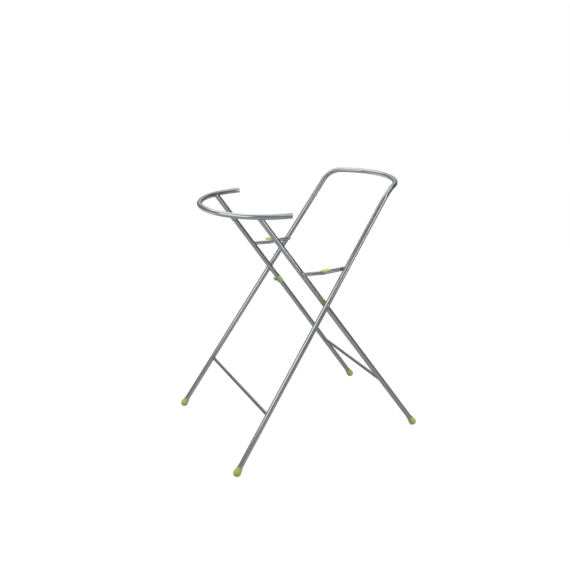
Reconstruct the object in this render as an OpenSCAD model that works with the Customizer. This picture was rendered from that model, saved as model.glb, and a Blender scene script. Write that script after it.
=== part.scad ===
// Folding stand for a baby bath. Two crossing frames of bent steel tube share one pivot line.
// The tall frame ends in a bowed head bar, the short frame in an open half-round hoop, and the
// tub rests on both. A two-link brace on each side holds the frames open.
// X runs across the stand, +Y towards the head bar, +Z up, and the floor is z = 0.

/* [Stance] */
// Distance on the floor between the tall frame's feet and the short frame's feet
stance = 795; // [755:1:835]
// Angle of the tall frame above the floor, degrees
tall_angle = 56.2; // [54:0.1:58]
// Angle of the short frame above the floor, degrees
short_angle = 54.4; // [53:0.1:56]

/* [Tubes] */
// Outer diameter of the main tubes
tube_d = 19; // [17:0.5:20]
// Wall of the main tubes
tube_wall = 1.2; // [0.8:0.1:2]
// Outer diameter of the rungs
rung_d = 12; // [10:0.5:15]
// Wall of the rungs
rung_wall = 1; // [0.7:0.1:1.5]
// Gap that each weld bridges
weld_gap = 0.05; // [0.02:0.01:0.1]

/* [Tall frame] */
// Half the distance between the tall frame's feet
tall_foot_x = 297.6; // [296.6:0.1:303]
// Inward slope of each tall leg within its frame, degrees
tall_taper = 3.73; // [3.4:0.01:3.8]
// Height at which the leg's line meets the head bar's line
head_z = 964; // [930:1:1000]
// Angle between the head bar's ends and straight across, degrees
head_turn = 48.6; // [40:0.1:58]
// Rise of the head bar towards its middle, degrees
head_rise = 3; // [0:0.5:8]
// Bend radius at each top corner
corner_r = 75; // [50:1:90]
// How much the wall draws in, on each face, where the tube is bent
bend_thin = 0.1; // [0.05:0.01:0.2]
// Height of the tall frame's rung
tall_rung_z = 203; // [150:1:300]

/* [Short frame] */
// Half the distance between the short frame's feet
short_foot_x = 250.8; // [244:0.1:251.8]
// Inward slope of each short leg within its frame, degrees
short_taper = 2.35; // [2.3:0.01:2.7]
// Height of the hoop's centreline
hoop_z = 911; // [890:1:940]
// Radius of the hoop's centreline
hoop_r = 238; // [228:1:250]
// How far inside the hoop's centreline the legs meet it
hoop_inset = 3.5; // [0:0.1:4]
// How far each end of the hoop stops short of a half circle
hoop_short = 7.5; // [2:0.5:40]
// Height of the short frame's rung
short_rung_z = 216; // [150:1:300]
// Thickness of the flange on each hoop plug
plug_flange = 1.5; // [1:0.1:3]
// Length of each hoop plug inside the tube
plug_len = 9; // [6:1:15]
// Clearance round each hoop plug
plug_gap = 0.4; // [0.3:0.05:0.8]

/* [Feet] */
// Diameter of a foot cap at its widest
foot_d = 29; // [26:0.5:34]
// Height of the round part's centre above the floor
foot_seat = 12; // [10:0.5:12.5]
// Length of a foot cap along the leg, from the centre of its round part
foot_len = 22; // [18:1:30]
// Wall of a foot cap's collar round the tube
foot_wall = 2.2; // [1.5:0.1:3]
// Clearance between a tube and what is pushed on it
fit_gap = 0.05; // [0.02:0.01:0.1]

/* [Pivot] */
// Diameter of the pivot pins
pin_d = 8; // [6:0.5:9]
// Diameter of a pin's head
pin_head_d = 11; // [10:0.5:14]
// Thickness of a pin's head
pin_head_h = 1.6; // [1.2:0.1:2.5]
// Running clearance round every pin and rivet that something turns on
run_gap = 0.08; // [0.03:0.01:0.1]
// Side clearance between parts that turn past each other
side_gap = 0.3; // [0.2:0.05:0.5]
// Length of a pivot spacer along the short leg
spacer_len = 40; // [30:1:50]
// Width of a pivot spacer across the short leg
spacer_w = 17; // [14:0.5:18]
// Wall of a pivot spacer on the tube
spacer_wall = 2.6; // [2:0.1:3.5]
// Diameter of a pivot spacer's boss
boss_d = 14; // [13:0.5:17]

/* [Brace] */
// Height of the brace's joint on the short leg
front_mount_z = 692; // [675:1:705]
// Height of the brace's joint on the tall leg
rear_mount_z = 694; // [680:1:710]
// How far the brace's elbow hangs below the line between its two mounts
brace_dip = 4; // [3:0.5:8]
// Height of a link's bar
link_h = 15; // [12:0.5:16]
// Thickness of a link's sheet
link_t = 2; // [1.5:0.1:2]
// Gap between the two links
link_gap = 0.4; // [0.3:0.05:0.4]
// Reach of the rear link past the elbow
link_over = 11; // [8:0.5:14]
// Diameter of the brace rivets
rivet_d = 6; // [5:0.5:7]
// Diameter of a rivet's head
rivet_head_d = 10; // [9:0.5:12]
// Thickness of a rivet's head
rivet_head_h = 1.5; // [1:0.1:1.6]
// Diameter of the washer behind the front link
washer_d = 14; // [12:0.5:15]
// Thickness of the washer behind the front link
washer_t = 1; // [0.8:0.1:1.1]
// Diameter of the bush behind the rear link
bush_d = 15; // [13:0.5:18]
// How far the bush wraps round the tall leg
bush_wrap = 3; // [2:0.5:5]

/* [Press tab] */
// Length of a press tab's pad
tab_len = 34; // [28:1:38]
// Width of a press tab's pad
tab_w = 18; // [14:1:20]
// Thickness of a press tab's pad
tab_t = 6; // [5:0.5:8]
// Gap between the link's upper edge and the pad
tab_lift = 1; // [0.5:0.5:4]
// Width of the steel ear that carries the pad
ear_w = 10; // [8:1:14]
// Clearance between the pad and its ear
tab_gap = 0.1; // [0.05:0.05:0.2]

/* [Clips] */
// Distance along the leg from the pivot down to the hose hook
hook_drop = 55; // [50:1:80]
// Length of the hose hook's sleeve along the leg
hook_len = 30; // [24:1:36]
// Width of the hook's arm along the leg
hook_arm_w = 12; // [10:1:16]
// Radius of the hook's arm at mid thickness
hook_r = 10; // [9:0.5:11]
// Thickness of the hook's arm
hook_t = 2.5; // [2:0.1:3]
// Wall of the hook's sleeve
hook_wall = 2.2; // [1.6:0.1:3]
// Opening of both clips round the leg, degrees
clip_open = 100; // [80:5:120]
// Distance along the leg from the hoop down to the upper clip
upper_clip_drop = 125; // [110:1:150]
// Length of the upper clip along the leg
upper_clip_len = 18; // [12:1:26]
// Wall of the upper clip
upper_clip_wall = 1.4; // [1:0.1:2]

/* [Hidden] */
$fn = 64;

tube_r = tube_d / 2;
bore_r = tube_r - tube_wall;
rung_r = rung_d / 2;
pin_r = pin_d / 2;
rivet_r = rivet_d / 2;
cut = 1;                    // how far a cutting solid runs past what it cuts
lap = 0.5;                  // how far a bend runs into the length before and after it
reach = 2 * stance;         // longer than anything that a cutting slab has to cross
spacer_base = 0.3;          // where the spacer's block starts inside the tube, as a share of its radius
head_root = 0.2;            // how far a shank runs into its head, as a share of the head's thickness

// Inward travel of each leg per millimetre of height
tall_in = tan(tall_taper) / sin(tall_angle);
short_in = tan(short_taper) / sin(short_angle);

// Points on the right-hand leg centrelines at a given height
function tall_at(z) = [tall_foot_x - z * tall_in, z / tan(tall_angle) - stance / 2, z];
function short_at(z) = [short_foot_x - z * short_in, stance / 2 - z / tan(short_angle), z];
function unit(v) = v / norm(v);

// Where a line along X through a leg's centre leaves the tube, on its outer or inner side
function tall_side(z, side) = tall_at(z)[0] + side * tube_r / cos(tall_taper);
function short_side(z, side) = short_at(z)[0] + side * tube_r / cos(short_taper);

tall_dir = unit(tall_at(1) - tall_at(0));
short_dir = unit(short_at(1) - short_at(0));

// The pivot line, where the two frames cross in side view
pivot_z = stance / (1 / tan(tall_angle) + 1 / tan(short_angle));
pivot = tall_at(pivot_z);

// Top corner: the leg bends from tall_dir to head_dir, and the head bar starts there
head_back = [0, cos(head_rise), sin(head_rise)];
head_dir = [-cos(head_turn), 0, 0] + sin(head_turn) * head_back;
corner_turn = acos(tall_dir * head_dir);
corner_cut = corner_r * tan(corner_turn / 2);
corner_at = tall_at(head_z);
leg_end = corner_at - corner_cut * tall_dir;
head_start = corner_at + corner_cut * head_dir;
head_r = head_start[0] / sin(head_turn);
head_mid = [0, head_start[1], head_start[2]] - head_r * cos(head_turn) * head_back;
corner_in = unit(head_dir - (head_dir * tall_dir) * tall_dir);

// Hoop centre, so that the short legs meet the hoop just inside its centreline
hoop_leg = short_at(hoop_z);
hoop_y = hoop_leg[1] + sqrt(pow(hoop_r - hoop_inset, 2) - pow(hoop_leg[0], 2));
hoop_trim = asin(hoop_short / hoop_r);

// Feet: the tube stops short of the floor inside the cap
foot_r = foot_d / 2;
collar_r = tube_r + foot_wall;
tube_stop = foot_seat * 0.8;
foot_shoulder = 20;         // where the round part meets the collar's flare, degrees above its centre

// Brace points in side view, and the direction of each link there
front_mount = short_at(front_mount_z);
rear_mount = tall_at(rear_mount_z);
brace_line = [rear_mount[1] - front_mount[1], rear_mount[2] - front_mount[2]];
brace_down = unit([brace_line[1], -brace_line[0]]);
elbow = [front_mount[1], front_mount[2]] + brace_line / 2 + brace_dip * brace_down;
link_r = link_h / 2;

// Side-by-side places of the brace's pieces, from the short leg outwards
washer_x = short_side(front_mount_z, 1) + washer_d / 2 * tan(short_taper) + fit_gap;
front_link_x = washer_x + washer_t + tab_gap;
rear_link_x = front_link_x + link_t + link_gap;
bush_x = rear_link_x + link_t + tab_gap;

// Pad of the press tab above the elbow
pad_low = link_r + tab_lift;
ear_mid = pad_low + tab_t / 2;
ear_reach = tab_w - link_t;

// Hose hook's arm, in the plane square to the leg
hook_arm_x = hook_r + 1;
hook_arm_z = 6.5;
hook_from = 30;             // end of the arm's curve, degrees from straight out
hook_up = 3;                // how far the arm sits above the middle of the sleeve
hook_root = tube_r + fit_gap + hook_wall / 2;   // the arm starts in the middle of the sleeve's wall
hook_off = norm([hook_arm_x, hook_arm_z]);
hook_to = 180 + atan2(hook_arm_z, hook_arm_x)
    - acos((pow(hook_off, 2) + pow(hook_r, 2) - pow(hook_root, 2)) / (2 * hook_off * hook_r));

steel = [0.66, 0.67, 0.69];
lime = [0.60, 0.71, 0.26];
bright = [0.78, 0.79, 0.80];
grey = [0.45, 0.46, 0.47];

// ---- placing -------------------------------------------------------------------------

// Draws the right-hand side, or its mirror image for the left
module side(left) {
    mirror([left ? 1 : 0, 0, 0]) children();
}

// Turns +Z to direction v and moves the origin to p
module aim(p, v) {
    translate(p) rotate([0, atan2(norm([v[0], v[1]]), v[2]), atan2(v[1], v[0])]) children();
}

// Leg frames: X outwards, Y up the leg, Z square to the frame; origin at distance u from the floor
module on_short_leg(u) {
    translate(short_at(0)) rotate([180 - short_angle, 0, 0]) rotate([0, 0, short_taper])
        translate([0, u, 0]) children();
}

// A bar along X through the point p, from x0 to x1
module cross_bar(p, r, x0, x1) {
    translate([x0, p[1], p[2]]) rotate([0, 90, 0]) cylinder(r = r, h = x1 - x0);
}

// A sheet in side view: the outline's own X runs along +Y and its Y along +Z
module side_sheet(x0, t) {
    translate([x0, 0, 0]) rotate([90, 0, 90]) linear_extrude(t) children();
}

// Side-view frame at point p, turned so that its X runs towards point q
module towards(p, q) {
    translate(p) rotate(atan2(q[1] - p[1], q[0] - p[0])) children();
}

// Everything below the floor
module below_floor() {
    translate([-reach / 2, -reach / 2, -reach]) cube(reach);
}

// ---- tubes ---------------------------------------------------------------------------

module tall_leg_bar(r, from, to) {
    aim(tall_at(0) + from * tall_dir, tall_dir) cylinder(r = r, h = to - from);
}

module short_leg_bar(r, from, to) {
    aim(short_at(0) + from * short_dir, short_dir) cylinder(r = r, h = to - from);
}

// The right-hand top corner, with its thinner wall lapped inside the lengths before and after it
module corner_bend() {
    x = -corner_in;
    y = tall_dir;
    z = cross(x, y);
    c = leg_end + corner_r * corner_in;
    lap_turn = lap / corner_r * 180 / PI;
    multmatrix([[x[0], y[0], z[0], c[0]], [x[1], y[1], z[1], c[1]], [x[2], y[2], z[2], c[2]]])
        rotate(-lap_turn) rotate_extrude(angle = corner_turn + 2 * lap_turn)
            translate([corner_r, 0]) difference() {
                circle(tube_r - bend_thin);
                circle(bore_r + bend_thin);
            }
}

// The bowed bar across the top of the tall frame
module head_bow() {
    translate(head_mid) rotate([head_rise, 0, 0]) rotate(90 - head_turn)
        rotate_extrude(angle = 2 * head_turn) translate([head_r, 0]) difference() {
            circle(tube_r);
            circle(bore_r);
        }
}

module hoop_bar(r) {
    translate([0, hoop_y, hoop_z]) rotate(180 + hoop_trim)
        rotate_extrude(angle = 180 - 2 * hoop_trim) translate([hoop_r, 0]) circle(r);
}

// One bent tube: two legs, two top corners and the head bar
module tall_frame_tube() {
    leg = norm(leg_end - tall_at(0));
    color(steel) difference() {
        union() {
            for (left = [false, true]) side(left) {
                difference() {
                    tall_leg_bar(tube_r, tube_stop, leg);
                    tall_leg_bar(bore_r, tube_stop - cut, leg + cut);
                }
                corner_bend();
            }
            head_bow();
        }
        for (left = [false, true]) side(left) {
            cross_bar(pivot, pin_r + fit_gap, pivot[0] - tube_d, pivot[0] + tube_d);
            cross_bar(rear_mount, rivet_r + fit_gap, rear_mount[0] - tube_d, rear_mount[0] + tube_d);
        }
    }
}

module tall_rung() {
    p = tall_at(tall_rung_z);
    color(steel) difference() {
        cross_bar(p, rung_r, -p[0], p[0]);
        cross_bar(p, rung_r - rung_wall, -p[0] - cut, p[0] + cut);
        for (left = [false, true]) side(left)
            tall_leg_bar(tube_r + weld_gap, 0, 2 * tall_rung_z);
    }
}

module short_leg(left) {
    leg = hoop_z / short_dir[2];
    color(steel) side(left) difference() {
        short_leg_bar(tube_r, tube_stop, leg + tube_d);
        short_leg_bar(bore_r, tube_stop - cut, leg + tube_d + cut);
        hoop_bar(tube_r + weld_gap);
        translate([-reach / 2, -reach / 2, hoop_z]) cube(reach);
        cross_bar(pivot, pin_r + run_gap, hoop_leg[0] - tube_d, pivot[0]);
        cross_bar(front_mount, rivet_r + fit_gap, front_mount[0] - tube_d, front_mount[0] + tube_d);
    }
}

module hoop_tube() {
    color(steel) difference() {
        hoop_bar(tube_r);
        translate([0, hoop_y, hoop_z]) rotate_extrude() translate([hoop_r, 0]) circle(bore_r);
    }
}

module short_rung() {
    p = short_at(short_rung_z);
    color(steel) difference() {
        cross_bar(p, rung_r, -p[0], p[0]);
        cross_bar(p, rung_r - rung_wall, -p[0] - cut, p[0] + cut);
        for (left = [false, true]) side(left)
            short_leg_bar(tube_r + weld_gap, 0, 2 * short_rung_z);
    }
}

// Grey plug in the open end of the hoop
module hoop_plug(left) {
    color(grey) side(left)
        translate([0, hoop_y, hoop_z]) rotate(-hoop_trim) translate([hoop_r, 0, 0]) rotate([-90, 0, 0]) {
            translate([0, 0, fit_gap]) cylinder(r = tube_r, h = plug_flange);
            translate([0, 0, -plug_len]) cylinder(r = bore_r - plug_gap, h = plug_len + fit_gap);
        }
}

// ---- feet ----------------------------------------------------------------------------

// Outline of half a foot cap, turned about the leg's axis; y is the distance along the leg
module foot_outline(mid) {
    intersection() {
        union() {
            translate([0, mid]) circle(foot_r);
            polygon([
                [0, mid], [foot_r * cos(foot_shoulder), mid + foot_r * sin(foot_shoulder)],
                [collar_r, mid + foot_len * 0.75],
                [collar_r, mid + foot_len], [0, mid + foot_len]
            ]);
        }
        translate([0, mid - foot_d]) square([foot_d, foot_d + foot_len + foot_d]);
    }
}

module tall_foot(left) {
    mid = foot_seat / tall_dir[2];
    color(lime) side(left) difference() {
        aim(tall_at(0), tall_dir) rotate_extrude() foot_outline(mid);
        tall_leg_bar(tube_r + fit_gap, tube_stop - fit_gap, mid + foot_len + cut);
        below_floor();
    }
}

module short_foot(left) {
    mid = foot_seat / short_dir[2];
    color(lime) side(left) difference() {
        aim(short_at(0), short_dir) rotate_extrude() foot_outline(mid);
        short_leg_bar(tube_r + fit_gap, tube_stop - fit_gap, mid + foot_len + cut);
        below_floor();
    }
}

// ---- pivot ---------------------------------------------------------------------------

// A riveted head with a chamfered rim, its flat side at the origin, facing away along +Z
module head(d, h) {
    cylinder(d = d, h = h * 0.4);
    translate([0, 0, h * 0.4]) cylinder(d1 = d, d2 = d * 0.6, h = h * 0.6);
}

// A rivet along X through p: its heads seat on x0 and x1, and its shank runs into both
module rivet(p, r, head_d, head_h, x0, x1) {
    cross_bar(p, r, x0 - head_h * head_root, x1 + head_h * head_root);
    translate([x0, p[1], p[2]]) rotate([0, -90, 0]) head(head_d, head_h);
    translate([x1, p[1], p[2]]) rotate([0, 90, 0]) head(head_d, head_h);
}

module pivot_pin(left) {
    x0 = short_side(pivot_z, -1) - pin_head_d / 2 * tan(short_taper) - side_gap;
    x1 = tall_side(pivot_z, 1) + pin_head_d / 2 * tan(tall_taper) + fit_gap;
    color(bright) side(left) rivet(pivot, pin_r, pin_head_d, pin_head_h, x0, x1);
}

// Oval plastic block saddled on the outer side of the short leg, with a boss that reaches for the tall leg
module pivot_spacer(left) {
    u = pivot_z / short_dir[2];
    base = tube_r * spacer_base;
    base_x = short_at(pivot_z)[0] + base;
    end_x = tall_side(pivot_z, -1) - boss_d / 2 * tan(tall_taper) - side_gap;
    color(lime) side(left) difference() {
        union() {
            on_short_leg(u) translate([base, 0, 0]) rotate([0, 90, 0])
                linear_extrude(tube_r + spacer_wall - base) rotate(90) pad_outline(spacer_len, spacer_w);
            cross_bar(pivot, boss_d / 2, base_x, end_x);
        }
        on_short_leg(u - spacer_len) rotate([-90, 0, 0]) cylinder(r = tube_r + fit_gap, h = 2 * spacer_len);
        cross_bar(pivot, pin_r + run_gap, base_x - cut, end_x + cut);
    }
}

// ---- brace ---------------------------------------------------------------------------

// A link's bar in side view from p to q, round at p and reaching past q
module bar_outline(p, q, past, round_end) {
    len = norm(q - p);
    towards(p, q) {
        circle(link_r);
        translate([0, -link_r]) square([len + past, link_h]);
        if (round_end) translate([len, 0]) circle(link_r);
    }
}

module link_hole(p) {
    translate(p) circle(rivet_r + run_gap);
}

module front_link(left) {
    p = [front_mount[1], front_mount[2]];
    color(steel) side(left) side_sheet(front_link_x, link_t) difference() {
        bar_outline(p, elbow, 0, true);
        link_hole(p);
        link_hole(elbow);
    }
}

// The rear link, with a bent ear at the elbow that carries the press tab
module rear_link(left) {
    p = [rear_mount[1], rear_mount[2]];
    len = norm(elbow - p);
    color(steel) side(left) {
        side_sheet(rear_link_x, link_t) difference() {
            union() {
                bar_outline(p, elbow, link_over, false);
                towards(p, elbow) translate([len - ear_w / 2, -ear_mid - link_t / 2])
                    square([ear_w, ear_mid]);
            }
            link_hole(p);
            link_hole(elbow);
        }
        side_sheet(rear_link_x + link_t / 2, ear_reach - link_t / 2)
            towards(p, elbow) translate([len - ear_w / 2, -ear_mid - link_t / 2])
                square([ear_w, link_t]);
    }
}

// Outline of the pad from above: long side along X, round ends
module pad_outline(length, w) {
    for (x = [-1, 1]) translate([x * (length - w) / 2, 0]) circle(w / 2);
    square([length - w, w], center = true);
}

// Lime pad pushed on the rear link's ear
module press_tab(left) {
    p = [rear_mount[1], rear_mount[2]];
    turn = atan2(elbow[1] - p[1], elbow[0] - p[0]);
    skin = tab_t / 4;
    color(lime) side(left) difference() {
        translate([rear_link_x + link_t + tab_gap + tab_w / 2, elbow[0], elbow[1]])
            rotate([turn - 180, 0, 0]) translate([0, 0, pad_low]) rotate(90) {
                linear_extrude(tab_t) pad_outline(tab_len - 2 * skin, tab_w - 2 * skin);
                translate([0, 0, skin]) linear_extrude(tab_t - 2 * skin) pad_outline(tab_len, tab_w);
            }
        side_sheet(rear_link_x, ear_reach + tab_gap)
            towards(p, elbow) translate([norm(elbow - p) - ear_w / 2 - tab_gap, -ear_mid - link_t / 2 - tab_gap])
                square([ear_w + 2 * tab_gap, link_t + 2 * tab_gap]);
    }
}

module front_rivet(left) {
    x0 = short_side(front_mount_z, -1) - rivet_head_d / 2 * tan(short_taper) - fit_gap;
    color(bright) side(left)
        rivet(front_mount, rivet_r, rivet_head_d, rivet_head_h, x0, front_link_x + link_t + tab_gap);
}

module front_washer(left) {
    color(bright) side(left) difference() {
        cross_bar(front_mount, washer_d / 2, washer_x, washer_x + washer_t);
        cross_bar(front_mount, rivet_r + fit_gap, washer_x - cut, washer_x + washer_t + cut);
    }
}

module rear_rivet(left) {
    x1 = tall_side(rear_mount_z, 1) + rivet_head_d / 2 * tan(tall_taper) + fit_gap;
    color(bright) side(left)
        rivet(rear_mount, rivet_r, rivet_head_d, rivet_head_h, rear_link_x - tab_gap, x1);
}

// Plastic bush between the rear link and the tall leg, hollowed to sit on the tube
module rear_bush(left) {
    end_x = tall_side(rear_mount_z, -1) + bush_wrap;
    color(lime) side(left) difference() {
        cross_bar(rear_mount, bush_d / 2, bush_x, end_x);
        cross_bar(rear_mount, rivet_r + fit_gap, bush_x - cut, end_x + cut);
        tall_leg_bar(tube_r + fit_gap, rear_mount_z, 2 * rear_mount_z);
    }
}

// The elbow's rivet in two halves, one in each link
module elbow_rivet_inner(left) {
    p = [0, elbow[0], elbow[1]];
    color(bright) side(left) {
        cross_bar(p, rivet_r, front_link_x - fit_gap - rivet_head_h * head_root, front_link_x + link_t);
        translate([front_link_x - fit_gap, p[1], p[2]]) rotate([0, -90, 0]) head(rivet_head_d, rivet_head_h);
    }
}

module elbow_rivet_outer(left) {
    p = [0, elbow[0], elbow[1]];
    x1 = rear_link_x + link_t + fit_gap;
    color(bright) side(left) {
        cross_bar(p, rivet_r, rear_link_x, x1 + rivet_head_h * head_root);
        translate([x1, p[1], p[2]]) rotate([0, 90, 0]) head(rivet_head_d, rivet_head_h);
    }
}

// ---- clips ---------------------------------------------------------------------------

// Ring round the short leg at distance u from the floor, open at open_at, degrees from straight out
module clip_sleeve(u, length, wall, open_at) {
    on_short_leg(u - length / 2) rotate([-90, 0, 0]) rotate(open_at + clip_open / 2)
        rotate_extrude(angle = 360 - clip_open)
            translate([tube_r + fit_gap, 0]) square([wall, length]);
}

// Clip with a curved arm that takes a drain hose, on the left short leg only
module hose_hook() {
    u = pivot_z / short_dir[2] - hook_drop;
    color(lime) side(true) {
        clip_sleeve(u, hook_len, hook_wall, 0);
        on_short_leg(u + hook_up - hook_arm_w / 2) translate([hook_arm_x, 0, hook_arm_z]) rotate([-90, 0, 0])
            rotate(-hook_to) rotate_extrude(angle = hook_to - hook_from)
                translate([hook_r - hook_t / 2, 0]) square([hook_t, hook_arm_w]);
    }
}

module upper_clip() {
    color(lime) side(true)
        clip_sleeve(hoop_z / short_dir[2] - upper_clip_drop, upper_clip_len, upper_clip_wall, 180);
}

tall_frame_tube();
tall_rung();
tall_foot(true);  // tall_foot_left
tall_foot(false);  // tall_foot_right
short_leg(true);  // short_leg_left
short_leg(false);  // short_leg_right
hoop_tube();
short_rung();
short_foot(true);  // short_foot_left
short_foot(false);  // short_foot_right
hoop_plug(true);  // hoop_plug_left
hoop_plug(false);  // hoop_plug_right
pivot_spacer(true);  // pivot_spacer_left
pivot_spacer(false);  // pivot_spacer_right
pivot_pin(true);  // pivot_pin_left
pivot_pin(false);  // pivot_pin_right
front_link(true);  // front_link_left
front_link(false);  // front_link_right
rear_link(true);  // rear_link_left
rear_link(false);  // rear_link_right
press_tab(true);  // press_tab_left
press_tab(false);  // press_tab_right
front_rivet(true);  // front_rivet_left
front_rivet(false);  // front_rivet_right
front_washer(true);  // front_washer_left
front_washer(false);  // front_washer_right
rear_rivet(true);  // rear_rivet_left
rear_rivet(false);  // rear_rivet_right
rear_bush(true);  // rear_bush_left
rear_bush(false);  // rear_bush_right
elbow_rivet_inner(true);  // elbow_rivet_inner_left
elbow_rivet_inner(false);  // elbow_rivet_inner_right
elbow_rivet_outer(true);  // elbow_rivet_outer_left
elbow_rivet_outer(false);  // elbow_rivet_outer_right
hose_hook();
upper_clip();
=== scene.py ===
import math

import bmesh
import bpy
from mathutils import Matrix, Vector


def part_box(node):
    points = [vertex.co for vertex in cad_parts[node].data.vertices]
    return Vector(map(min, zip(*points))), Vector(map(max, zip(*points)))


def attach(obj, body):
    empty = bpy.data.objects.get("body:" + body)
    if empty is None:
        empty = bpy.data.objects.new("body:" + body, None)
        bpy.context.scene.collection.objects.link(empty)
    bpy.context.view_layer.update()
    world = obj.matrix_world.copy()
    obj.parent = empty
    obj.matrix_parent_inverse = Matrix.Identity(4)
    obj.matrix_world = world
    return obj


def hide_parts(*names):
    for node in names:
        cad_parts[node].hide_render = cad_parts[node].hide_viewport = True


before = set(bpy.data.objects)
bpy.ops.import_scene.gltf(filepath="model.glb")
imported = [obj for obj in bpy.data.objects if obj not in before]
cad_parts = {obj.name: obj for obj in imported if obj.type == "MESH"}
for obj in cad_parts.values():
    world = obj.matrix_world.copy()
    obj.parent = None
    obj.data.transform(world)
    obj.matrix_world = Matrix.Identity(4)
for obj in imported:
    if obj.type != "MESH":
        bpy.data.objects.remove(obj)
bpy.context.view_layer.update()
scene = bpy.context.scene
up = Vector((0, 0, 1))
mm = 0.001

# the stand's driving lines, in millimetres and degrees
stand = {
    "stance": 795, "tallAngle": 56.2, "shortAngle": 54.4, "tubeRadius": 9.49, "rungRadius": 6,
    "tallFootX": 297.6, "tallTaper": 3.73, "shortFootX": 250.8, "shortTaper": 2.35,
    "headHeight": 964, "headTurn": 48.6, "headRise": 3, "cornerRadius": 75,
    "hoopHeight": 911, "hoopRadius": 238, "hoopInset": 3.5, "hoopShort": 7.5,
    "tallRungHeight": 203, "shortRungHeight": 216, "tubeSides": 48, "rungSides": 36,
}
sides = {"left": -1, "right": 1}


def legPoint(footX, taper, angle, lean, height, side):
    inward = math.tan(math.radians(taper)) / math.sin(math.radians(angle))
    away = height / math.tan(math.radians(angle)) - stand["stance"] / 2
    return Vector((side * (footX - height * inward), lean * away, height)) * mm


def tallAt(height, side=1):
    return legPoint(stand["tallFootX"], stand["tallTaper"], stand["tallAngle"], 1, height, side)


def shortAt(height, side=1):
    return legPoint(stand["shortFootX"], stand["shortTaper"], stand["shortAngle"], -1, height, side)


def legDirection(legAt, side=1):
    return (legAt(100, side) - legAt(0, side)).normalized()


def turnTo(direction, place):
    turned = Vector(direction).to_track_quat("Z", "Y").to_matrix().to_4x4()
    return Matrix.Translation(place) @ turned


# materials
noiseSpan = (0.3, 0.7)  # the part of a noise's range that most of it lies in


def newMaterial(name, **settings):
    material = bpy.data.materials.new(name)
    material.use_nodes = True
    shader = material.node_tree.nodes["Principled BSDF"]
    for socket, value in settings.items():
        shader.inputs[socket.replace("_", " ")].default_value = value
    return material, material.node_tree, shader


def addNode(tree, kind, links=(), **values):
    node = tree.nodes.new(kind)
    for name, value in values.items():
        if hasattr(node, name):
            setattr(node, name, value)
        else:
            node.inputs[name.replace("_", " ")].default_value = value
    for socket, source in links:
        tree.links.new(source, node.inputs[socket])
    return node


def noiseOn(tree, place, scale, detail):
    return addNode(tree, "ShaderNodeTexNoise", [("Vector", place)], Scale=scale, Detail=detail,
                   Roughness=0.55).outputs[0]


def between(tree, source, low, high, fromLow=noiseSpan[0], fromHigh=noiseSpan[1]):
    return addNode(tree, "ShaderNodeMapRange", [("Value", source)], From_Min=fromLow, From_Max=fromHigh,
                   To_Min=low, To_Max=high).outputs[0]


def mixed(tree, factor, *colours):
    ramp = addNode(tree, "ShaderNodeValToRGB", [("Fac", factor)])
    for stop, position, colour in zip(ramp.color_ramp.elements, noiseSpan, colours):
        stop.position = position
        stop.color = (*colour, 1)
    return ramp.outputs[0]


# scales are per metre, depths in millimetres, and detail is the noise's number of octaves
silver = {
    "dark": (0.5, 0.521, 0.545), "light": (0.556, 0.577, 0.601), "edge": (0.5, 0.51, 0.53, 1),
    "roughLow": 0.15, "roughHigh": 0.21, "cloudScale": 14, "cloudDetail": 4,
    "grainScale": 700, "grainDetail": 2, "grainStrength": 0.35, "grainDepth": 0.006,
}
lime = {
    "dark": (0.365, 0.455, 0.115), "light": (0.415, 0.515, 0.14),
    "roughLow": 0.38, "roughHigh": 0.5, "cloudScale": 40, "cloudDetail": 3,
    "grainScale": 1200, "grainDetail": 2, "grainStrength": 0.25, "grainDepth": 0.02,
}
plugGrey = {
    "dark": (0.10, 0.105, 0.085), "light": (0.14, 0.145, 0.115),
    "roughLow": 0.4, "roughHigh": 0.55, "cloudScale": 60, "cloudDetail": 3,
    "grainScale": 1500, "grainDetail": 2, "grainStrength": 0.3, "grainDepth": 0.03,
}
zinc = {
    "dark": (0.48, 0.485, 0.49), "light": (0.56, 0.565, 0.57), "roughLow": 0.24, "roughHigh": 0.38,
    "spangleScale": 700, "grainScale": 400, "grainDetail": 3,
}


def grainedFinish(name, look, tint=(1, 1, 1), rougher=0, **settings):
    material, tree, shader = newMaterial(name, **settings)
    place = addNode(tree, "ShaderNodeTexCoord").outputs["Object"]
    cloud = noiseOn(tree, place, look["cloudScale"], look["cloudDetail"])
    grain = noiseOn(tree, place, look["grainScale"], look["grainDetail"])
    dark = [channel * share for channel, share in zip(look["dark"], tint)]
    light = [channel * share for channel, share in zip(look["light"], tint)]
    tree.links.new(mixed(tree, cloud, dark, light), shader.inputs["Base Color"])
    tree.links.new(between(tree, grain, look["roughLow"] + rougher, look["roughHigh"] + rougher),
                   shader.inputs["Roughness"])
    bump = addNode(tree, "ShaderNodeBump", [("Height", grain)], Strength=look["grainStrength"],
                   Distance=look["grainDepth"] * mm)
    tree.links.new(bump.outputs[0], shader.inputs["Normal"])
    return material


def silverLacquer(name, shade=1, rougher=0):
    return grainedFinish(name, silver, (shade, shade, shade), rougher, Metallic=1.0,
                         Specular_Tint=silver["edge"])


def plastic(name, look, tint=(1, 1, 1)):
    return grainedFinish(name, look, tint, IOR=1.5)


def zincPlate():
    material, tree, shader = newMaterial("zincPlate", Metallic=1.0)
    place = addNode(tree, "ShaderNodeTexCoord").outputs["Object"]
    spangle = addNode(tree, "ShaderNodeTexVoronoi", [("Vector", place)], Scale=zinc["spangleScale"])
    tree.links.new(mixed(tree, spangle.outputs["Distance"], zinc["dark"], zinc["light"]),
                   shader.inputs["Base Color"])
    grain = noiseOn(tree, place, zinc["grainScale"], zinc["grainDetail"])
    tree.links.new(between(tree, grain, zinc["roughLow"], zinc["roughHigh"]), shader.inputs["Roughness"])
    return material


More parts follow.
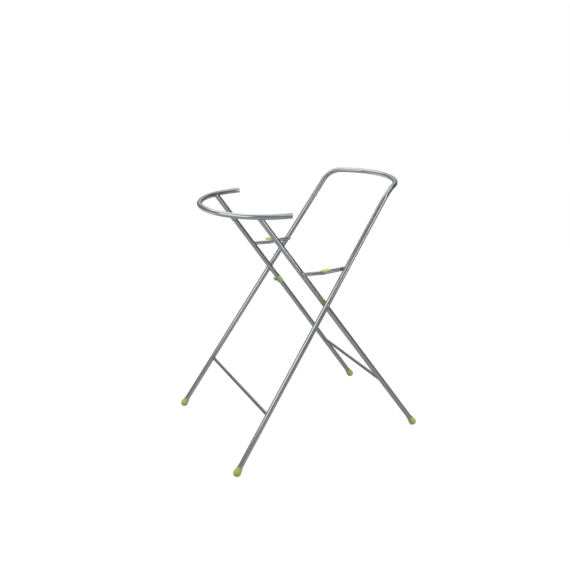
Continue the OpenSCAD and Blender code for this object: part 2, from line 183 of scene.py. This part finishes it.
# a lacquer's shade and how much rougher it is, or a plastic's tint
finish = {
    "tube": silverLacquer("silverLacquer"),
    # the rungs' lacquer is the tube's darkened: partly their own darker tone, partly painted shade for the
    # darker reflections they show
    "rung": silverLacquer("rungLacquerToneAndShade", 0.62, 0.03),
    "brace": silverLacquer("braceLacquer", 0.95, 0.04),
    "weld": silverLacquer("weldLacquer", 0.85, 0.1),
    "rivet": zincPlate(),
    "plug": plastic("greyPlastic", plugGrey),
    "lime": plastic("limePlastic", lime),
    # the press tabs' lighter lime is painted light: the same plastic brightened for the light falling on
    # their tops
    "tab": plastic("limeTabPaintedLight", lime, (1.3, 1.27, 1.1)),
    "hook": plastic("limeHook", lime, (1.02, 1.02, 1.5)),
    "bush": plastic("paleBush", lime, (0.9, 0.75, 2.2)),
    # the spacers' darker lime is painted shade: the same plastic darkened for the shade between the crossing
    # tubes
    "spacer": plastic("limeSpacerPaintedShade", lime, (0.72, 0.7, 1.0)),
}
print("materials made:", len(finish))


# making pieces
def mergeDoubles(bm, verts, reach=0.002):  # reach is in millimetres
    bmesh.ops.remove_doubles(bm, verts=verts, dist=reach * mm)


def makePiece(name, bm, look, body, replaced=(), smoothAngle=35):
    mergeDoubles(bm, bm.verts)
    bmesh.ops.recalc_face_normals(bm, faces=bm.faces)
    mesh = bpy.data.meshes.new(name)
    bm.to_mesh(mesh)
    bm.free()
    mesh.materials.append(finish[look])
    mesh.shade_smooth()
    mesh.set_sharp_from_angle(angle=math.radians(smoothAngle))
    piece = bpy.data.objects.new(name, mesh)
    scene.collection.objects.link(piece)
    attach(piece, body)
    if replaced:
        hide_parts(*replaced)


def edgesOf(geometry):
    return [item for item in geometry if isinstance(item, bmesh.types.BMEdge)]


def vertsOf(geometry):
    return [item for item in geometry if isinstance(item, bmesh.types.BMVert)]


def startRing(bm, centre, direction, radius, segments):
    made = bmesh.ops.create_circle(bm, segments=segments, radius=radius, matrix=turnTo(direction, centre))
    return list({edge for vert in made["verts"] for edge in vert.link_edges})


def runStraight(bm, ring, travel):
    made = bmesh.ops.extrude_edge_only(bm, edges=ring)["geom"]
    bmesh.ops.translate(bm, verts=vertsOf(made), vec=travel)
    return edgesOf(made)


def runBend(bm, ring, centre, axis, angle, steps):
    made = bmesh.ops.spin(bm, geom=ring, cent=centre, axis=axis, angle=angle, steps=steps)
    return edgesOf(made["geom_last"])


def closeEnds(bm):
    bmesh.ops.holes_fill(bm, edges=[edge for edge in bm.edges if edge.is_boundary], sides=0)


def cutLevel(bm, height, **cleared):
    bmesh.ops.bisect_plane(bm, geom=bm.verts[:] + bm.edges[:] + bm.faces[:], plane_co=(0, 0, height * mm),
                           plane_no=up, **cleared)


def lathe(profile, place, direction, segments):
    bm = bmesh.new()
    verts = [bm.verts.new((radius * mm, 0, along * mm)) for radius, along in profile]
    edges = [bm.edges.new(pair) for pair in zip(verts, verts[1:])]
    bmesh.ops.spin(bm, geom=verts + edges, cent=(0, 0, 0), axis=up, angle=math.tau, steps=segments,
                   use_merge=True)
    mergeDoubles(bm, bm.verts)
    bmesh.ops.transform(bm, matrix=turnTo(direction, place), verts=bm.verts)
    return bm


def arcOf(centre, radius, start, end, steps):
    angles = [math.radians(start + (end - start) * step / steps) for step in range(steps + 1)]
    return [(centre[0] + radius * math.cos(a), centre[1] + radius * math.sin(a)) for a in angles]


# tubes: the tall frame with its bowed head bar, the hoop, the short legs and the rungs
tubes = {"bendSteps": 16, "bowSteps": 48, "hoopSteps": 96, "footStart": 10, "overrun": 3}


def headGeometry():
    turn, rise = math.radians(stand["headTurn"]), math.radians(stand["headRise"])
    back = Vector((0, math.cos(rise), math.sin(rise)))
    run = Vector((-math.cos(turn), 0, 0)) + math.sin(turn) * back
    leg = legDirection(tallAt)
    corner = tallAt(stand["headHeight"])
    angle = leg.angle(run)
    cut = stand["cornerRadius"] * mm * math.tan(angle / 2)
    inward = (run - run.dot(leg) * leg).normalized()
    legEnd = corner - cut * leg
    barStart = corner + cut * run
    bow = barStart.x / math.sin(turn)
    middle = Vector((0, barStart.y, barStart.z)) - bow * math.cos(turn) * back
    return {"leg": leg, "legEnd": legEnd, "bend": legEnd + stand["cornerRadius"] * mm * inward,
            "bendAxis": leg.cross(inward), "angle": angle, "middle": middle,
            "bowAxis": Vector((1, 0, 0)).cross(back)}


def makeTallFrame():
    head = headGeometry()
    start = tallAt(0) + head["leg"] * tubes["footStart"] * mm
    bow = math.radians(2 * stand["headTurn"])
    mirror = Matrix.Diagonal((-1, 1, 1, 1))
    bm = bmesh.new()
    ring = startRing(bm, start, head["leg"], stand["tubeRadius"] * mm, stand["tubeSides"])
    ring = runStraight(bm, ring, head["legEnd"] - start)
    ring = runBend(bm, ring, head["bend"], head["bendAxis"], head["angle"], tubes["bendSteps"])
    ring = runBend(bm, ring, head["middle"], head["bowAxis"], bow, tubes["bowSteps"])
    ring = runBend(bm, ring, mirror @ head["bend"], mirror @ head["bendAxis"], head["angle"],
                   tubes["bendSteps"])
    runStraight(bm, ring, mirror @ (start - head["legEnd"]))
    closeEnds(bm)
    makePiece("tallFrameTube", bm, "tube", "tall_frame", ["tall_frame_tube"])


def hoopCentre():
    reach = (stand["hoopRadius"] - stand["hoopInset"]) * mm
    leg = shortAt(stand["hoopHeight"])
    return Vector((0, leg.y + math.sqrt(reach ** 2 - leg.x ** 2), leg.z))


def makeHoop():
    centre = hoopCentre()
    trim = math.asin(stand["hoopShort"] / stand["hoopRadius"])
    turned = Matrix.Rotation(-trim, 3, up)
    end = centre + turned @ Vector((stand["hoopRadius"] * mm, 0, 0))
    along = turned @ Vector((0, -1, 0))
    bm = bmesh.new()
    ring = startRing(bm, end, along, stand["tubeRadius"] * mm, stand["tubeSides"])
    runBend(bm, ring, centre, -up, math.pi - 2 * trim, tubes["hoopSteps"])
    closeEnds(bm)
    makePiece("hoopTube", bm, "tube", "short_frame", ["hoop_tube"])
    return end, along


# the leg runs on into the hoop and is cut off level with the hoop's middle
def makeShortLeg(name, side):
    leg = legDirection(shortAt, side)
    start = shortAt(0, side) + leg * tubes["footStart"] * mm
    overrun = leg * tubes["overrun"] * stand["tubeRadius"] * mm
    bm = bmesh.new()
    ring = startRing(bm, start, leg, stand["tubeRadius"] * mm, stand["tubeSides"])
    runStraight(bm, ring, shortAt(stand["hoopHeight"], side) - start + overrun)
    cutLevel(bm, stand["hoopHeight"], clear_outer=True)
    closeEnds(bm)
    makePiece("shortLeg." + name, bm, "tube", "short_frame", ["short_leg_" + name])


def makeRung(name, legAt, height, body, node):
    far = legAt(height, -1)
    bm = bmesh.new()
    ring = startRing(bm, far, (1, 0, 0), stand["rungRadius"] * mm, stand["rungSides"])
    runStraight(bm, ring, legAt(height, 1) - far)
    closeEnds(bm)
    makePiece(name, bm, "rung", body, [node])


# weld beads, laid on the line where one tube runs into another
# rungReach, hoopReach and hoopLimit say where the line is looked for, in tube radii
weld = {
    "radius": 1.5, "ripple": 0.12, "ripples": 34, "points": 136, "roundness": 2, "easings": 8,
    "halvings": 24, "rungReach": 3, "hoopReach": 4, "hoopLimit": 5, "smoothAngle": 80,
}


def depthInTube(point, line):
    nearest = line(point)
    return (point - nearest).length - stand["tubeRadius"] * mm


def onLeg(legAt, side):
    base, leg = legAt(0, side), legDirection(legAt, side)
    return lambda point: base + leg * (point - base).dot(leg)


def onHoop(point):
    centre = hoopCentre()
    flat = Vector((point.x - centre.x, point.y - centre.y, 0)).normalized()
    return centre + flat * stand["hoopRadius"] * mm


def meetingLine(start, direction, radius, line, farthest):
    across = direction.orthogonal().normalized()
    points = []
    for step in range(weld["points"]):
        spoke = Matrix.Rotation(math.tau * step / weld["points"], 3, direction) @ across
        low, high = 0.0, farthest
        for halving in range(weld["halvings"]):
            middle = (low + high) / 2
            inside = depthInTube(start + spoke * radius + direction * middle, line) < 0
            low, high = (low, middle) if inside else (middle, high)
        points.append(start + spoke * radius + direction * high)
    return points


def makeBead(name, points, body):
    curve = bpy.data.curves.new(name, "CURVE")
    curve.dimensions = "3D"
    curve.bevel_depth = weld["radius"] * mm
    curve.bevel_resolution = weld["roundness"]
    spline = curve.splines.new("POLY")
    spline.points.add(len(points) - 1)
    spline.use_cyclic_u = True
    for index, point in enumerate(points):
        ripple = math.sin(math.tau * weld["ripples"] * index / len(points))
        spline.points[index].co = (*point, 1)
        spline.points[index].radius = 1 + weld["ripple"] * ripple
    holder = bpy.data.objects.new(name + "Curve", curve)
    scene.collection.objects.link(holder)
    bm = bmesh.new()
    bm.from_mesh(holder.evaluated_get(bpy.context.evaluated_depsgraph_get()).to_mesh())
    bpy.data.objects.remove(holder)
    makePiece(name, bm, "weld", body, smoothAngle=weld["smoothAngle"])


def makeRungBead(name, legAt, height, side, body):
    rung, tube = stand["rungRadius"] * mm, stand["tubeRadius"] * mm
    outwards = Vector((side, 0, 0))
    start = legAt(height, side) - outwards * weld["rungReach"] * tube
    line = meetingLine(start, outwards, rung, onLeg(legAt, side), weld["rungReach"] * tube)
    makeBead(name, line, body)


# the leg's bead goes round under the hoop, is held below the leg's cut top, and is eased there
def makeHoopBead(name, side):
    tube = stand["tubeRadius"] * mm
    leg = legDirection(shortAt, side)
    top = shortAt(stand["hoopHeight"], side)
    line = meetingLine(top - leg * weld["hoopReach"] * tube, leg, tube, onHoop, weld["hoopLimit"] * tube)
    roof = stand["hoopHeight"] * mm
    for point in line:
        if point.z > roof:
            point -= leg * (point.z - roof) / leg.z
    for easing in range(weld["easings"]):
        line = [(before + 2 * point + after) / 4
                for before, point, after in zip(line[-1:] + line, line, line[1:] + line[:1])]
    makeBead(name, line, "short_frame")


makeTallFrame()
hoopEnd, hoopAlong = makeHoop()
makeRung("tallRung", tallAt, stand["tallRungHeight"], "tall_frame", "tall_rung")
makeRung("shortRung", shortAt, stand["shortRungHeight"], "short_frame", "short_rung")
for sideName, side in sides.items():
    makeShortLeg(sideName, side)
for sideName, side in sides.items():
    makeRungBead("tallRungWeld." + sideName, tallAt, stand["tallRungHeight"], side, "tall_frame")
    makeRungBead("shortRungWeld." + sideName, shortAt, stand["shortRungHeight"], side, "short_frame")
    makeHoopBead("hoopWeld." + sideName, side)
print("tubes and welds made")


# feet: a ball cut flat on the floor, a collar with a groove, and a recessed tread in the sole
# the groove's steps say how far each lies below the top, and how deep it is
foot = {
    "radius": 14.49, "seat": 12, "length": 22, "collar": 11.7, "shoulder": 20, "ballSteps": 22,
    "flare": 14, "flareAt": 0.72, "flareFrom": 208, "flareSteps": 6, "lip": 0.9, "lipSteps": 5,
    "groove": [(4.4, 0), (4.1, 0.45), (3.3, 0.45), (3, 0)], "grip": 0.2, "socket": 3, "segments": 64,
    "outlineStep": 0.6, "treadEdge": 1.6, "treadWall": 0.5, "treadDepth": 0.4, "onFloor": 0.01,
    "smoothAngle": 40,
}


def makeFoot(name, legAt, side, body, node):
    leg = legDirection(legAt, side)
    middle = foot["seat"] / leg.z
    top = middle + foot["length"]
    collar, lip, inside = foot["collar"], foot["lip"], stand["tubeRadius"] - foot["grip"]
    ball = arcOf((0, middle), foot["radius"], -90, foot["shoulder"], foot["ballSteps"])
    flare = arcOf((collar + foot["flare"], middle + foot["length"] * foot["flareAt"]), foot["flare"],
                  foot["flareFrom"], 180, foot["flareSteps"])
    neck = [(collar - depth, top - below) for below, depth in foot["groove"]]
    rim = arcOf((collar - lip, top - lip), lip, 0, 90, foot["lipSteps"])
    inner = [(inside, top), (inside, top - foot["socket"]), (0, top - foot["socket"])]
    profile = [(max(radius, 0), along) for radius, along in ball + flare + neck + rim + inner]
    bm = lathe(profile, legAt(0, side), leg, foot["segments"])
    cutLevel(bm, 0, clear_inner=True)
    onFloor = foot["onFloor"] * mm
    mergeDoubles(bm, [vert for vert in bm.verts if abs(vert.co.z) < onFloor], foot["outlineStep"])
    closeEnds(bm)
    bmesh.ops.recalc_face_normals(bm, faces=bm.faces)
    sole = [face for face in bm.faces if max(vert.co.z for vert in face.verts) < onFloor]
    bmesh.ops.inset_region(bm, faces=sole, thickness=foot["treadEdge"] * mm)
    bmesh.ops.inset_region(bm, faces=sole, thickness=foot["treadWall"] * mm, depth=-foot["treadDepth"] * mm)
    makePiece(name, bm, "lime", body, [node], foot["smoothAngle"])


for sideName, side in sides.items():
    makeFoot("tallFoot." + sideName, tallAt, side, "tall_frame", "tall_foot_" + sideName)
    makeFoot("shortFoot." + sideName, shortAt, side, "short_frame", "short_foot_" + sideName)

# hoop plugs, with a shallow dish in the flange
plug = {
    "flange": 1.5, "seat": 0.05, "round": 0.7, "roundSteps": 5, "stem": 8, "stemRadius": 7.9,
    "dish": 0.5, "dishRadius": 5, "dishSlope": 0.6, "segments": 48, "smoothAngle": 30,
}


def makePlug(name, side, node):
    place = Vector((side * hoopEnd.x, hoopEnd.y, hoopEnd.z))
    out = -Vector((side * hoopAlong.x, hoopAlong.y, hoopAlong.z))
    flange, radius, seat = plug["flange"], stand["tubeRadius"], plug["seat"]
    stem = [(0, -plug["stem"]), (plug["stemRadius"], -plug["stem"]), (plug["stemRadius"], seat)]
    stem += [(radius, seat)]
    rim = arcOf((radius - plug["round"], flange - plug["round"]), plug["round"], 0, 90, plug["roundSteps"])
    low = flange - plug["dish"]
    dish = [(plug["dishRadius"] + plug["dishSlope"], flange), (plug["dishRadius"], low), (0, low)]
    bm = lathe(stem + rim + dish, place, out, plug["segments"])
    makePiece(name, bm, "plug", "short_frame", [node], plug["smoothAngle"])


for sideName, side in sides.items():
    makePlug("hoopPlug." + sideName, side, "hoop_plug_" + sideName)
print("feet and plugs made")

# plates, clips and spacers: the construction's own shapes, with their sharp edges rounded
edging = {"flatWithin": 1, "sharperThan": 40, "segments": 3, "smoothAngle": 45}
# name, node, look, body, the edges' width, and how far from its middle a piece stays plain, as the press
# tab does round its slot for the ear
softened = [
    ("frontLink", "front_link", "brace", "front_link_{}", 0.45, 0),
    ("rearLink", "rear_link", "brace", "rear_link_{}", 0.45, 0),
    ("pressTab", "press_tab", "tab", "rear_link_{}", 0.36, 5.5),
    ("pivotSpacer", "pivot_spacer", "spacer", "short_frame", 0.6, 0),
    ("rearBush", "rear_bush", "bush", "tall_frame", 0.8, 0),
    ("frontWasher", "front_washer", "rivet", "short_frame", 0.2, 0),
]


def mergedCopy(node):
    bm = bmesh.new()
    bm.from_mesh(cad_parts[node].data)
    mergeDoubles(bm, bm.verts)
    bmesh.ops.dissolve_limit(bm, angle_limit=math.radians(edging["flatWithin"]), verts=bm.verts,
                             edges=bm.edges)
    return bm


def softenEdges(bm, width, plainReach):
    across = [vert.co.y for vert in bm.verts]
    middle = (min(across) + max(across)) / 2
    sharp = [edge for edge in bm.edges
             if edge.is_manifold and edge.calc_face_angle() > math.radians(edging["sharperThan"])
             and max(abs(vert.co.y - middle) for vert in edge.verts) > plainReach * mm]
    bmesh.ops.bevel(bm, geom=sharp, offset=width * mm, offset_type="OFFSET", affect="EDGES",
                    segments=edging["segments"], profile=0.5, clamp_overlap=True, material=-1)
    bmesh.ops.triangulate(bm, faces=[face for face in bm.faces if len(face.verts) > 4])


def makeSoftened(name, node, look, body, width, plainReach=0):
    bm = mergedCopy(node)
    softenEdges(bm, width, plainReach)
    makePiece(name, bm, look, body, [node], edging["smoothAngle"])


for pieceName, node, look, body, width, plainReach in softened:
    for sideName in sides:
        makeSoftened(pieceName + "." + sideName, node + "_" + sideName, look, body.format(sideName), width,
                     plainReach)
makeSoftened("hoseHook", "hose_hook", "hook", "short_frame", 0.5)
makeSoftened("upperClip", "upper_clip", "hook", "short_frame", 0.35)

# rivets: turned heads with a dimple, on a shank
# rim, dimpleTop and depth are shares of the head's height; crown, dimple and bowl are shares of its radius
rivets = {
    "head": 1.5, "shank": 3, "pinHead": 1.6, "pinShank": 4, "segments": 40, "smoothAngle": 30,
    "rim": 0.45, "rimTurn": 70, "rimSteps": 4, "crown": 0.55,
    "dimple": 0.32, "dimpleLip": 0.25, "dimpleTop": 0.9, "bowl": 0.16, "depth": 0.45,
}


def headProfile(radius, height, base):
    edge, dimple = height * rivets["rim"], radius * rivets["dimple"]
    top, bottom = base + height, base + height * (1 - rivets["depth"])
    rim = arcOf((radius - edge, base + edge), edge, 0, rivets["rimTurn"], rivets["rimSteps"])
    crown = [(radius * rivets["crown"], top), (dimple + rivets["dimpleLip"], top)]
    bowl = [(dimple, base + height * rivets["dimpleTop"]), (radius * rivets["bowl"], bottom), (0, bottom)]
    return [(radius, base)] + rim + crown + bowl


def makeRivet(name, node, body, headHeight, shank, headEnds):
    low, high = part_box(node)
    middle = (low + high) / 2
    span = (high.x - low.x) / mm
    radius = (high.z - low.z) / 2 / mm
    top = headProfile(radius, headHeight, span / 2 - headHeight)
    bottom = [(r, -along) for r, along in reversed(top)]
    lowEnd = bottom + [(shank, bottom[-1][1])] if "low" in headEnds else [(0, -span / 2), (shank, -span / 2)]
    highEnd = [(shank, top[0][1])] + top if "high" in headEnds else [(shank, span / 2), (0, span / 2)]
    bm = lathe(lowEnd + highEnd, middle, (1, 0, 0), rivets["segments"])
    makePiece(name, bm, "rivet", body, [node], rivets["smoothAngle"])


for sideName, side in sides.items():
    outer, inner = ("high", "low") if side > 0 else ("low", "high")
    for pieceName, node, body, headEnds in (
            ("frontRivet", "front_rivet", "short_frame", "low high"),
            ("rearRivet", "rear_rivet", "tall_frame", "low high"),
            ("elbowRivetInner", "elbow_rivet_inner", "front_link_" + sideName, inner),
            ("elbowRivetOuter", "elbow_rivet_outer", "rear_link_" + sideName, outer)):
        makeRivet(pieceName + "." + sideName, node + "_" + sideName, body, rivets["head"], rivets["shank"],
                  headEnds)
    makeRivet("pivotPin." + sideName, "pivot_pin_" + sideName, "tall_frame", rivets["pinHead"],
              rivets["pinShank"], "low high")
print("brace, clips and rivets made")

# room: white paper and sky, and what the metal mirrors in them
# each edge is where a brighter or darker part of the room fades in, from none to all of it
room = {
    "floorSize": 14, "floorGlow": 0.88, "floorColour": (0.16, 0.16, 0.16, 1), "skyGlow": 1.0,
    "skyLevel": 0.82, "roomLevel": 0.29, "darkSide": 0.17, "darkEdge": (0.1, 0.7),
    "backdropLevel": 1.1, "towardsBackdrop": (-0.81, 0.38, 0.447), "backdropEdge": (0.8, 0.96),
    "overheadLevel": 0.88, "overheadEdge": (0.45, 0.7), "overheadSideEdge": (-0.35, 0.15),
    "floorShare": 0.6, "floorEdge": (-0.6, -1.2), "floorDarkEdge": (-0.1, 0.9),
}


def joined(tree, operation, first, second):
    return addNode(tree, "ShaderNodeMath", [(0, first), (1, second)], operation=operation).outputs[0]


def chosen(tree, choice, usual, other):
    mix = addNode(tree, "ShaderNodeMix", [(0, choice), (3, other)], data_type="FLOAT")
    mix.inputs[2].default_value = usual
    return mix.outputs[0]


def seenRays(tree):
    path = addNode(tree, "ShaderNodeLightPath").outputs
    seen = joined(tree, "MAXIMUM", path["Is Camera Ray"], path["Is Glossy Ray"])
    return joined(tree, "MAXIMUM", seen, path["Is Transmission Ray"]), path["Is Glossy Ray"]


# a dim room, with a bright backdrop behind and its darkest side to the right
def roomLevels(tree, backdropShare, darkShare):
    lit = between(tree, backdropShare, room["roomLevel"], room["backdropLevel"], 0, 1)
    dark = between(tree, darkShare, 0, room["darkSide"], 0, 1)
    return joined(tree, "SUBTRACT", lit, dark)


def makeFloor():
    bm = bmesh.new()
    bmesh.ops.create_grid(bm, x_segments=1, y_segments=1, size=room["floorSize"] / 2)
    mesh = bpy.data.meshes.new("floor")
    bm.to_mesh(mesh)
    bm.free()
    floor = bpy.data.objects.new("floor", mesh)
    scene.collection.objects.link(floor)
    material = bpy.data.materials.new("floorPaper")
    material.use_nodes = True
    tree = material.node_tree
    tree.nodes.clear()
    seen, glossy = seenRays(tree)
    place = addNode(tree, "ShaderNodeTexCoord").outputs["Object"]
    across = addNode(tree, "ShaderNodeSeparateXYZ", [("Vector", place)]).outputs
    mirrored = roomLevels(tree, between(tree, across["X"], 0, room["floorShare"], *room["floorEdge"]),
                          between(tree, across["Y"], 0, 1, *room["floorDarkEdge"]))
    level = joined(tree, "MULTIPLY", chosen(tree, glossy, room["floorGlow"], mirrored), seen)
    paper = addNode(tree, "ShaderNodeBsdfDiffuse", Color=room["floorColour"])
    glow = addNode(tree, "ShaderNodeEmission", [("Strength", level)])
    both = addNode(tree, "ShaderNodeAddShader", [(0, paper.outputs[0]), (1, glow.outputs[0])])
    addNode(tree, "ShaderNodeOutputMaterial", [("Surface", both.outputs[0])])
    mesh.materials.append(material)


def makeWorld():
    world = bpy.data.worlds.new("studio")
    scene.world = world
    world.use_nodes = True
    tree = world.node_tree
    tree.nodes.clear()
    seen, glossy = seenRays(tree)
    direction = addNode(tree, "ShaderNodeTexCoord").outputs["Generated"]
    towards = addNode(tree, "ShaderNodeVectorMath", [(0, direction)], operation="DOT_PRODUCT")
    towards.inputs[1].default_value = room["towardsBackdrop"]
    across = addNode(tree, "ShaderNodeSeparateXYZ", [("Vector", direction)]).outputs
    walls = roomLevels(tree, between(tree, towards.outputs["Value"], 0, 1, *room["backdropEdge"]),
                       between(tree, across["Y"], 0, 1, *room["darkEdge"]))
    overhead = between(tree, across["Z"], 0, room["overheadLevel"], *room["overheadEdge"])
    overheadShare = between(tree, across["Y"], 0, 1, *room["overheadSideEdge"])
    mirrored = joined(tree, "MAXIMUM", walls, joined(tree, "MULTIPLY", overhead, overheadShare))
    level = chosen(tree, seen, room["skyLevel"], chosen(tree, glossy, room["skyGlow"], mirrored))
    glow = addNode(tree, "ShaderNodeBackground", [("Strength", level)], Color=(1, 1, 1, 1))
    addNode(tree, "ShaderNodeOutputWorld", [("Surface", glow.outputs[0])])


# lamps: name, place, aim, width, height, power, and whether the metal mirrors it
lamps = [
    ("topBox", (-1.0, -0.45, 2.55), (0, 0.1, 0.9), 1.8, 1.8, 12, True),
    ("sideBox", (1.5, 0.62, 1.25), (0, 0, 1.25), 0.28, 1.6, 3.8, True),
    ("leftBox", (0.46, -1.62, 1.38), (0.2, -0.04, 0.43), 1.6, 1.15, 6.8, True),
    ("fillBox", (2.0, 1.5, 1.2), (0, 0, 0.4), 1.5, 1.5, 13, False),
]


def addLamp(name, place, aim, width, height, power, mirrored):
    lamp = bpy.data.lights.new(name, "AREA")
    lamp.shape = "RECTANGLE"
    lamp.size = width
    lamp.size_y = height
    lamp.energy = power
    holder = bpy.data.objects.new(name, lamp)
    turned = (Vector(aim) - Vector(place)).to_track_quat("-Z", "Y").to_matrix().to_4x4()
    holder.matrix_world = Matrix.Translation(place) @ turned
    holder.visible_glossy = mirrored
    scene.collection.objects.link(holder)


camera = {
    "place": (2.48197, -1.23945, 1.5073), "aim": (-0.855702, 0.406629, -0.320042),
    "lens": 47.82, "sensor": 36,
}


def makeCamera():
    lens = bpy.data.cameras.new("camera")
    lens.lens = camera["lens"]
    lens.sensor_width = camera["sensor"]
    holder = bpy.data.objects.new("camera", lens)
    turned = Vector(camera["aim"]).to_track_quat("-Z", "Y").to_matrix().to_4x4()
    holder.matrix_world = Matrix.Translation(camera["place"]) @ turned
    scene.collection.objects.link(holder)
    scene.camera = holder


makeFloor()
makeWorld()
for lampRow in lamps:
    addLamp(*lampRow)
makeCamera()
scene.view_settings.view_transform = "Standard"
print("room, light and camera made")
